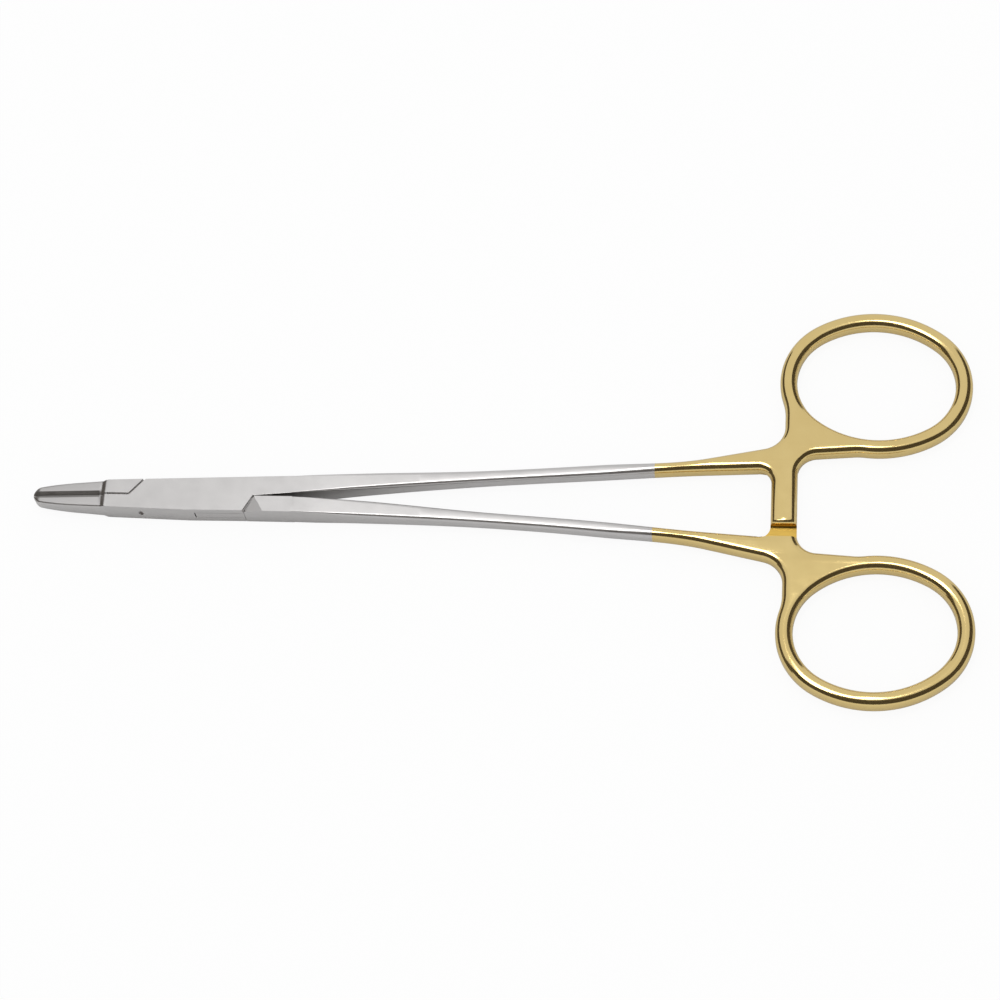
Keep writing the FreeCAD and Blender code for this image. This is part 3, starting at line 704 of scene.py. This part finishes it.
def jaw_body(half):
    """Steel jaw from the nose to the lock: sections with round outer edges, which step back at the seat of
    the insert."""
    jaw, lock = sizes("jaw"), sizes("lock")
    nose = jaw.nose_round * (1 - np.cos(np.linspace(0, math.pi / 2, NOSE_STEPS)))
    fine = np.concatenate([nose, np.linspace(jaw.nose_round, jaw.shoulder_start, JAW_STEPS)[1:]])
    shoulder_length = jaw.shoulder_end - jaw.shoulder_start
    shoulder = jaw.shoulder_start + shoulder_length * np.linspace(0, 1, SHOULDER_STEPS)[1:]
    ends = [jaw.insert_start] * 2 + [jaw.insert_end] * 2 + [lock.front]
    reach = np.sort(np.concatenate([fine, shoulder, ends]))
    seated = (reach >= jaw.insert_start) & (reach <= jaw.insert_end)
    seated[np.searchsorted(reach, jaw.insert_start)] = False
    seated[np.searchsorted(reach, jaw.insert_end, side="right") - 1] = False
    width, height, rounding, groove, depth = jaw_shape(reach)
    inner = np.where(seated, groove, jaw.seam)
    sunk = height - np.where(seated, 0, depth)
    angle = np.linspace(math.pi / 2, 0, RIM_STEPS + 1)
    arc_y = (width - rounding)[:, None] + np.cos(angle) * rounding[:, None]
    arc_z = (height - rounding)[:, None] + np.sin(angle) * rounding[:, None]
    upper_y = np.column_stack([inner, groove, arc_y])
    upper_z = np.column_stack([sunk, height, arc_z])
    y = np.hstack([upper_y, upper_y[:, ::-1]])
    z = np.hstack([upper_z, -upper_z[:, ::-1]])
    obj = carried(half + "_jaw", sections(TIP + reach, -y, z), half, (False, True))
    smooth_metal(obj)
    return obj


def serrations(x, z):
    """Depth of the crossed V grooves: along x + z and x - z, one minus three times the way from the groove's
    middle, as a share of the pitch."""
    jaw = sizes("jaw")
    ways = [np.abs((x + side * z) / jaw.serration_pitch % 1 - 0.5) for side in (1, -1)]
    return jaw.serration_depth * np.clip(1 - 3 * np.minimum(*ways), 0, 1)


def jaw_insert(half):
    """Carbide insert: a bevel towards the seam above and below, and a serrated mating face."""
    jaw = sizes("jaw")
    reach = np.arange(jaw.insert_start, jaw.insert_end, jaw.step)
    height, groove, depth = (jaw_shape(reach)[k] for k in (1, 3, 4))
    sunk = height - depth
    spread = np.linspace(1, -1, math.ceil(2 * sunk.max() / jaw.step))
    mating_z = sunk[:, None] * spread
    mating_x = np.broadcast_to(reach[:, None], mating_z.shape)
    edge_free = (np.abs(spread) < 1).astype(float)
    mating_y = jaw.seam + serrations(mating_x, mating_z) * edge_free
    y = np.concatenate([groove[:, None], groove[:, None], mating_y], axis=1)
    z = np.concatenate([-height[:, None], height[:, None], mating_z], axis=1)
    obj = carried(half + "_insert", sections(TIP + reach, -y, z), half)
    smooth_metal(obj)
    return obj


def lock_body(half):
    """Half of the box lock: the solid's own faces between jaw and shank, with broken edges."""
    lock = sizes("lock")
    first, last = TIP + lock.front, shank_reach()[0]
    bm = bmesh.new()
    bm.from_mesh(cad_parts[HALVES[half]["node"]].data)
    bmesh.ops.remove_doubles(bm, verts=bm.verts, dist=2 * WELD)
    for limit, side in ((first, -1), (last, 1)):
        everything = bm.verts[:] + bm.edges[:] + bm.faces[:]
        bmesh.ops.bisect_plane(
            bm, geom=everything, dist=2 * WELD, plane_co=(limit, 0, 0), plane_no=(side, 0, 0),
            clear_outer=True,
        )
        bmesh.ops.holes_fill(bm, edges=[e for e in bm.edges if e.is_boundary], sides=0)
    bmesh.ops.dissolve_limit(bm, angle_limit=math.radians(0.5), verts=bm.verts, edges=bm.edges)
    if half == "lower":
        grind_facet(bm)
    weigh_edges(bm, first, last)
    mesh = bpy.data.meshes.new(half + "_lock")
    bm.to_mesh(mesh)
    bm.free()
    obj = placed(half + "_lock", mesh)
    bevel = obj.modifiers.new("broken edges", "BEVEL")
    bevel.width = lock.joint_edge_width
    bevel.segments = 3
    bevel.limit_method = "WEIGHT"
    for joint in (lock.front_joint, lock.seam_joint, lock.rear_joint):
        cut_away(obj, joint_slot(joint))
    if half == "upper":
        cut_away(obj, punch_mark())
    else:
        add_lips(obj)
    smooth_metal(obj, lock.crease)
    return obj


def joint_slot(joint):
    """The open joint: a bar along it, sunk into the upper face of the lock."""
    lock = sizes("lock")
    start, end = Vector(joint[:2]), Vector(joint[2:])
    way = (end - start).normalized()
    side = Vector((-way.y, way.x)) * lock.slot_width / 2
    plan = [start - side, end - side, end + side, start + side]
    levels = (lock.height / 2 - lock.slot_depth, lock.height / 2 + lock.slot_depth)
    points = [(PIN_X + p.x, p.y, level) for level in levels for p in plan]
    faces = [[0, 1, 2, 3], [4, 5, 6, 7]]
    faces += [[k, (k + 1) % 4, 4 + (k + 1) % 4, 4 + k] for k in range(4)]
    bar = mesh_object("joint_slot", points, faces)
    tidy_mesh(bar)
    return bar


def weigh_edges(bm, first, last):
    """Weighs the sharp edges for the bevel: wide along the slanted joints, narrow elsewhere, none round the
    pin and none where jaw and shank go on."""
    lock = sizes("lock")
    weights = bm.edges.layers.float.new("bevel_weight_edge")
    pin_round = (PIN_HIGH.x - PIN_LOW.x) / 2
    axis = Vector((PIN_X, 0))
    for edge in bm.edges:
        ends = [v.co for v in edge.verts]
        if not edge.is_manifold or edge.calc_face_angle() < lock.edge_angle:
            continue
        if all((end.xy - axis).length < 1.2 * pin_round for end in ends):
            continue
        at_jaw = all(end.x < first + lock.edge_width for end in ends)
        at_shank = all(end.x > last - lock.edge_width for end in ends)
        if at_jaw or at_shank:
            continue
        way = (ends[1] - ends[0]).normalized()
        on_face = abs(abs(ends[0].z - MID_Z) - lock.height / 2) < lock.edge_width
        slanted = abs(way.x) > 0.25 and abs(way.y) > 0.5 and on_face
        edge[weights] = 1.0 if slanted else lock.edge_width / lock.joint_edge_width


def grind_facet(bm):
    """The ground facet behind the rear joint: the top face is split from the joint's inner end to the far
    corner, and the joint's outer end sinks."""
    lock = sizes("lock")
    top = MID_Z + lock.height / 2
    outer = Vector((PIN_X + lock.joint_outer[0], lock.joint_outer[1], top))
    inner = Vector((PIN_X + lock.joint_inner[0], lock.joint_inner[1], top))
    far = Vector((PIN_X + lock.facet_reach, lock.joint_outer[1], top))
    faces = [f for f in bm.faces if f.normal.z > 0.99 and f.calc_center_median().x > outer.x]
    faces = [f for f in faces if abs(f.calc_center_median().z - top) < lock.edge_width]
    edges = {e for f in faces for e in f.edges}
    verts = {v for f in faces for v in f.verts}
    across = (far - inner).cross(Vector((0, 0, 1)))
    bmesh.ops.bisect_plane(
        bm, geom=[*verts, *edges, *faces], dist=20 * WELD, plane_co=inner, plane_no=across.normalized()
    )
    corner_vert = min(bm.verts, key=lambda v: (v.co - outer).length)
    corner_vert.co.z -= lock.facet_drop


# The lips that close the tongue's slot on both sides of the box, in millimetres from the pin. The near end
# lies on a circle of radius clear, on which it swings free of the box, and runs out to side.
LIP_INNER = 1.75
LIP_STEPS = 5
LIPS = (
    {"way": 1, "clear": 3.12, "side": 2.83, "corners": [(9.2, -2.83), (9.2, -1.5), (6.0, -1.5)]},
    {"way": -1, "clear": 3.08, "side": 2.79, "corners": [(7.3, -2.585), (7.3, -1.5), (4.0, -1.5)]},
)


def lip_outline(way, clear, side, corners):
    """Plan of a lip: its near end lies on x^2 + y^2 = clear^2, from the inner to the outer side."""
    y = np.linspace(LIP_INNER, side, LIP_STEPS)
    near = np.stack([np.sqrt(clear**2 - y**2), -y], axis=1)
    return way * np.vstack([near, corners]) * MM


def add_lips(obj):
    """The two lips, as flat closed plates in the middle of the thickness."""
    half_height = sizes("lock").lip_height / 2
    bm = bmesh.new()
    bm.from_mesh(obj.data)
    for lip in LIPS:
        outline = lip_outline(**lip)
        low, high = (
            [bm.verts.new((PIN_X + x, y, MID_Z + side * half_height)) for x, y in outline] for side in (-1, 1)
        )
        count = len(outline)
        added = [bm.faces.new(low[::-1]), bm.faces.new(high)]
        for k in range(count):
            added.append(bm.faces.new((low[k], low[(k + 1) % count], high[(k + 1) % count], high[k])))
        bmesh.ops.recalc_face_normals(bm, faces=added)
    bm.to_mesh(obj.data)
    bm.free()


def punch_mark():
    """A cone on its side with an oval base. The base stands out of the near side of the box by half the
    mark's width, and the point lies one and a half widths inside it."""
    lock = sizes("lock")
    half_width = lock.mark_width / 2
    angle = np.linspace(0, 2 * math.pi, MARK_STEPS, endpoint=False)
    across = 1.25 * half_width * np.cos(angle)
    upright = 1.25 * half_width * np.sin(angle) * lock.mark_height / lock.mark_width
    rim = np.stack([across, np.full(MARK_STEPS, -half_width), upright], axis=1)
    place = np.array([PIN_X - lock.mark_reach, -lock.mark_side, 0])
    points = np.vstack([rim, [[0, 3 * half_width, 0]]]) + place
    faces = [[(k + 1) % MARK_STEPS, k, MARK_STEPS] for k in range(MARK_STEPS)]
    faces.append(list(range(MARK_STEPS)))
    cone = mesh_object("punch_mark", points, faces)
    tidy_mesh(cone)
    return cone


# Finishes


def add_node(tree, kind, settings=None, links=None):
    """Adds a node, sets its properties and sockets, and links its inputs."""
    node = tree.nodes.new(kind)
    for key, value in (settings or {}).items():
        if key in node.inputs:
            node.inputs[key].default_value = value
        else:
            setattr(node, key, value)
    for key, source in (links or {}).items():
        tree.links.new(source, node.inputs[key])
    return node


def new_material(name):
    """An empty node material with its tree and output."""
    material = bpy.data.materials.new(name)
    material.use_nodes = True
    tree = material.node_tree
    tree.nodes.clear()
    return material, tree, add_node(tree, "ShaderNodeOutputMaterial")


def between(tree, factor, first, second):
    """A colour between two, by a factor."""
    tint = add_node(tree, "ShaderNodeMix", {"data_type": "RGBA"}, {"Factor": factor})
    tint.inputs[6].default_value = (*first, 1)
    tint.inputs[7].default_value = (*second, 1)
    return tint.outputs[2]


def for_camera(tree, shown, mirrored, part, output):
    """Shows the camera's own rays one shader, by the given part, and every other ray the other one."""
    path = add_node(tree, "ShaderNodeLightPath")
    factor = add_node(tree, "ShaderNodeMath", {"operation": "MULTIPLY"})
    tree.links.new(path.outputs["Is Camera Ray"], factor.inputs[0])
    factor.inputs[1].default_value = part
    blend = add_node(tree, "ShaderNodeMixShader")
    for socket, source in enumerate((factor, mirrored, shown)):
        tree.links.new(source.outputs[0], blend.inputs[socket])
    tree.links.new(blend.outputs[0], output.inputs["Surface"])


def metal_finish(name, light, dark, roughness, spread, cloud_mm, grain_mm, grain_height_mm, stretch):
    """A metal whose colour and roughness drift in clouds, with a fine grain as bump.
    The clouds and the grain are sized in millimetres, and stretch drags the grain out along X."""
    if name in bpy.data.materials:
        return bpy.data.materials[name]
    material, tree, output = new_material(name)
    place = add_node(tree, "ShaderNodeTexCoord").outputs["Object"]
    clouds = add_node(
        tree, "ShaderNodeTexNoise", {"Scale": 1 / (cloud_mm * MM), "Detail": 3.0}, {"Vector": place}
    ).outputs["Fac"]
    ranges = {"From Min": 0.3, "From Max": 0.7, "To Min": roughness - spread, "To Max": roughness + spread}
    drift = add_node(tree, "ShaderNodeMapRange", ranges, {"Value": clouds}).outputs["Result"]
    drawn = add_node(
        tree, "ShaderNodeMapping", {"Scale": (1 / stretch, 1, 1)}, {"Vector": place}
    ).outputs["Vector"]
    grain = add_node(
        tree, "ShaderNodeTexNoise", {"Scale": 1 / (grain_mm * MM), "Detail": 2.0}, {"Vector": drawn}
    ).outputs["Fac"]
    bump = add_node(
        tree, "ShaderNodeBump", {"Distance": grain_height_mm * MM, "Strength": 1.0}, {"Height": grain}
    ).outputs["Normal"]
    sources = {"Base Color": between(tree, clouds, dark, light), "Roughness": drift, "Normal": bump}
    shader = add_node(tree, "ShaderNodeBsdfPrincipled", {"Metallic": 1.0}, sources)
    tree.links.new(shader.outputs["BSDF"], output.inputs["Surface"])
    return material


def satin_steel():
    """Martensitic stainless steel, blasted with glass beads: a soft even grey sheen with no clear
    reflections. Its grain is drawn at 0.35 mm, coarser than the real 0.1 mm, so that it shows."""
    look = sizes("look")
    return metal_finish(
        "satin stainless steel", look.steel, look.steel_dark, look.steel_roughness,
        spread=0.04, cloud_mm=2.5, grain_mm=0.35, grain_height_mm=0.003, stretch=1.6,
    )


def polished_gold():
    """Gold plated over polished steel: mirror-like and warm, with a faint orange peel left by buffing."""
    look = sizes("look")
    return metal_finish(
        "polished gold plating", look.gold, look.gold_deep, look.gold_roughness,
        spread=0.02, cloud_mm=4.0, grain_mm=1.4, grain_height_mm=0.0015, stretch=2.5,
    )


def ground_carbide():
    """Sintered tungsten carbide, ground: darker and duller than the steel round it, with a tight grain."""
    look = sizes("look")
    return metal_finish(
        "ground tungsten carbide", look.carbide, look.carbide, look.carbide_roughness,
        spread=0.05, cloud_mm=1.2, grain_mm=0.2, grain_height_mm=0.004, stretch=1.0,
    )


def milled_gold():
    """Gold plated over the milled ratchet: duller and deeper, with the cutter's marks across the arm."""
    look = sizes("look")
    return metal_finish(
        "milled gold plating", look.gold_milled, look.gold_milled, look.gold_milled_roughness,
        spread=0.03, cloud_mm=2.0, grain_mm=0.3, grain_height_mm=0.006, stretch=6.0,
    )


def finish_piece(obj, material, body):
    """Gives a piece its material, if it has none, and lets it ride on a body."""
    if not obj.data.materials:
        obj.data.materials.append(material)
    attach(obj, body)


# Operators


class NEEDLE_OT_locks(bpy.types.Operator):
    """Build both halves of the box lock"""

    bl_idname = "needle.locks"
    bl_label = "Box lock"

    def execute(self, context):
        for half, facts in HALVES.items():
            obj = lock_body(half)
            finish_piece(obj, satin_steel(), facts["body"])
            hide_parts(facts["node"])
        return {"FINISHED"}


class NEEDLE_OT_jaws(bpy.types.Operator):
    """Build the two steel jaws and their carbide inserts"""

    bl_idname = "needle.jaws"
    bl_label = "Jaws and inserts"

    def execute(self, context):
        for half, facts in HALVES.items():
            finish_piece(jaw_body(half), satin_steel(), facts["body"])
            insert = jaw_insert(half)
            finish_piece(insert, ground_carbide(), facts["body"])
            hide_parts(facts["insert"])
        return {"FINISHED"}


class NEEDLE_OT_shanks(bpy.types.Operator):
    """Build the two steel shanks"""

    bl_idname = "needle.shanks"
    bl_label = "Steel shanks"

    def execute(self, context):
        for half, facts in HALVES.items():
            finish_piece(shank(half), satin_steel(), facts["body"])
        return {"FINISHED"}


class NEEDLE_OT_handles(bpy.types.Operator):
    """Build the two gilt handles with their rings and ratchet arms"""

    bl_idname = "needle.handles"
    bl_label = "Gilt handles"

    def execute(self, context):
        for half, facts in HALVES.items():
            finish_piece(handle(half), polished_gold(), facts["body"])
        return {"FINISHED"}


class NEEDLE_OT_pin(bpy.types.Operator):
    """Finish the lock pin"""

    bl_idname = "needle.pin"
    bl_label = "Lock pin"

    def execute(self, context):
        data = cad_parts["lock_pin"].data
        data.materials.clear()
        data.materials.append(satin_steel())
        return {"FINISHED"}


class NEEDLE_OT_stage(bpy.types.Operator):
    """Set up floor, light and camera"""

    bl_idname = "needle.stage"
    bl_label = "Floor, light and camera"

    def execute(self, context):
        make_floor()
        make_light()
        make_camera()
        return {"FINISHED"}


def make_floor():
    """A pale matt floor under the object. Seen by the camera it is whiter than the metal mirrors it."""
    look = sizes("look")
    material, tree, output = new_material("pale matt floor")
    seen = add_node(tree, "ShaderNodeLightPath").outputs["Is Camera Ray"]
    tint = between(tree, seen, look.floor_shade, look.floor)
    matt = add_node(tree, "ShaderNodeBsdfDiffuse", None, {"Color": tint})
    white = add_node(tree, "ShaderNodeEmission", {"Color": (1, 1, 1, 1), "Strength": 1.0})
    for_camera(tree, white, matt, look.floor_white, output)
    reach, low = FLOOR_REACH, CAD_BOX[0].z
    corners = [(-reach, -reach, low), (reach, -reach, low), (reach, reach, low), (-reach, reach, low)]
    mesh = bpy.data.meshes.new("floor")
    mesh.from_pydata(corners, [], [(0, 1, 2, 3)])
    mesh.materials.append(material)
    floor = placed("floor", mesh)


def area_lamp(name, place, aim, width, height, power):
    """A soft box at a place, turned towards a point."""
    lamp = bpy.data.lights.new(name, "AREA")
    lamp.shape = "RECTANGLE"
    lamp.size, lamp.size_y = width, height
    lamp.energy = power
    obj = placed(name, lamp)
    obj.location = place
    obj.rotation_mode = "QUATERNION"
    obj.rotation_quaternion = (Vector(aim) - Vector(place)).to_track_quat("-Z", "Y")


def make_light():
    """An even pale room, one soft box overhead and three dark cards that only the metal mirrors."""
    world = bpy.data.worlds.new("pale room")
    bpy.context.scene.world = world
    world.use_nodes = True
    tree = world.node_tree
    tree.nodes.clear()
    output = add_node(tree, "ShaderNodeOutputWorld")
    look = sizes("look")
    room = add_node(tree, "ShaderNodeBackground", {"Color": (1, 1, 1, 1), "Strength": look.room})
    white = add_node(tree, "ShaderNodeBackground", {"Color": (1, 1, 1, 1), "Strength": 1.0})
    for_camera(tree, white, room, 1.0, output)
    area_lamp("overhead box", look.lamp_place, (0, 0, 0), *look.lamp_size, look.lamp_power)
    for name, corners in CARDS.items():
        dark_card(name, corners)


def dark_card(name, corners):
    """A dark card beside the light, seen only in mirror reflections, as photographers place one."""
    material, tree, output = new_material(name)
    matt = add_node(tree, "ShaderNodeBsdfDiffuse", {"Color": (*sizes("look").card, 1)})
    tree.links.new(matt.outputs[0], output.inputs["Surface"])
    mesh = bpy.data.meshes.new(name)
    mesh.from_pydata(corners, [], [(0, 1, 2, 3)])
    mesh.materials.append(material)
    card = placed(name, mesh)
    card.visible_camera = False
    card.visible_diffuse = False
    card.visible_shadow = False


def make_camera():
    """The camera at its angle round the object, leaned by its roll."""
    spot = sizes("camera")
    azimuth, elevation, roll = spot.azimuth, spot.elevation, spot.roll
    right = Vector((math.cos(azimuth), math.sin(azimuth), 0))
    level = math.cos(elevation)
    back = Vector((math.sin(azimuth) * level, -math.cos(azimuth) * level, math.sin(elevation)))
    up = back.cross(right)
    leaned_right = right * math.cos(roll) - up * math.sin(roll)
    leaned_up = up * math.cos(roll) + right * math.sin(roll)
    camera = placed("camera", bpy.data.cameras.new("camera"))
    axes = Matrix((leaned_right, leaned_up, back)).transposed()
    camera.matrix_world = Matrix.Translation(Vector(spot.target) + back * spot.distance) @ axes.to_4x4()
    camera.data.lens = spot.lens
    camera.data.sensor_width = 36
    camera.data.clip_start = 0.01
    camera.data.clip_end = 10
    bpy.context.scene.camera = camera


class NEEDLE_PT_build(bpy.types.Panel):
    """The needle holder's pieces in the order in which they are built"""

    bl_idname = "NEEDLE_PT_build"
    bl_label = "Needle holder"
    bl_space_type = "VIEW_3D"
    bl_region_type = "UI"
    bl_category = "Needle Holder"

    def draw(self, context):
        for operator in OPERATORS:
            self.layout.operator(operator.bl_idname)
        for group in GROUPS:
            box = self.layout.box()
            box.label(text=group.capitalize())
            settings = getattr(context.scene, "needle_" + group)
            for name in GROUPS[group].__annotations__:
                box.prop(settings, name)


GROUPS = {
    "ring": NeedleRingSizes,
    "hub": NeedleHubSizes,
    "shank": NeedleShankSizes,
    "lock": NeedleLockSizes,
    "jaw": NeedleJawSizes,
    "look": NeedleLook,
    "camera": NeedleCameraSizes,
}
OPERATORS = (
    NEEDLE_OT_locks, NEEDLE_OT_jaws, NEEDLE_OT_shanks, NEEDLE_OT_handles, NEEDLE_OT_pin, NEEDLE_OT_stage
)


def register():
    """Registers the classes and hangs the property groups on the scene."""
    for group, kind in GROUPS.items():
        bpy.utils.register_class(kind)
        setattr(bpy.types.Scene, "needle_" + group, bpy.props.PointerProperty(type=kind))
    for kind in (*OPERATORS, NEEDLE_PT_build):
        bpy.utils.register_class(kind)


def unregister():
    """Takes the classes and property groups away again."""
    for kind in (NEEDLE_PT_build, *reversed(OPERATORS)):
        bpy.utils.unregister_class(kind)
    for group, kind in reversed(GROUPS.items()):
        delattr(bpy.types.Scene, "needle_" + group)
        bpy.utils.unregister_class(kind)


def main():
    """Builds every piece, then the stage."""
    register()
    bpy.context.scene.view_settings.view_transform = "Standard"
    bpy.ops.needle.locks()
    bpy.ops.needle.jaws()
    bpy.ops.needle.shanks()
    bpy.ops.needle.handles()
    bpy.ops.needle.pin()
    bpy.ops.needle.stage()


if __name__ == "__main__":
    main()
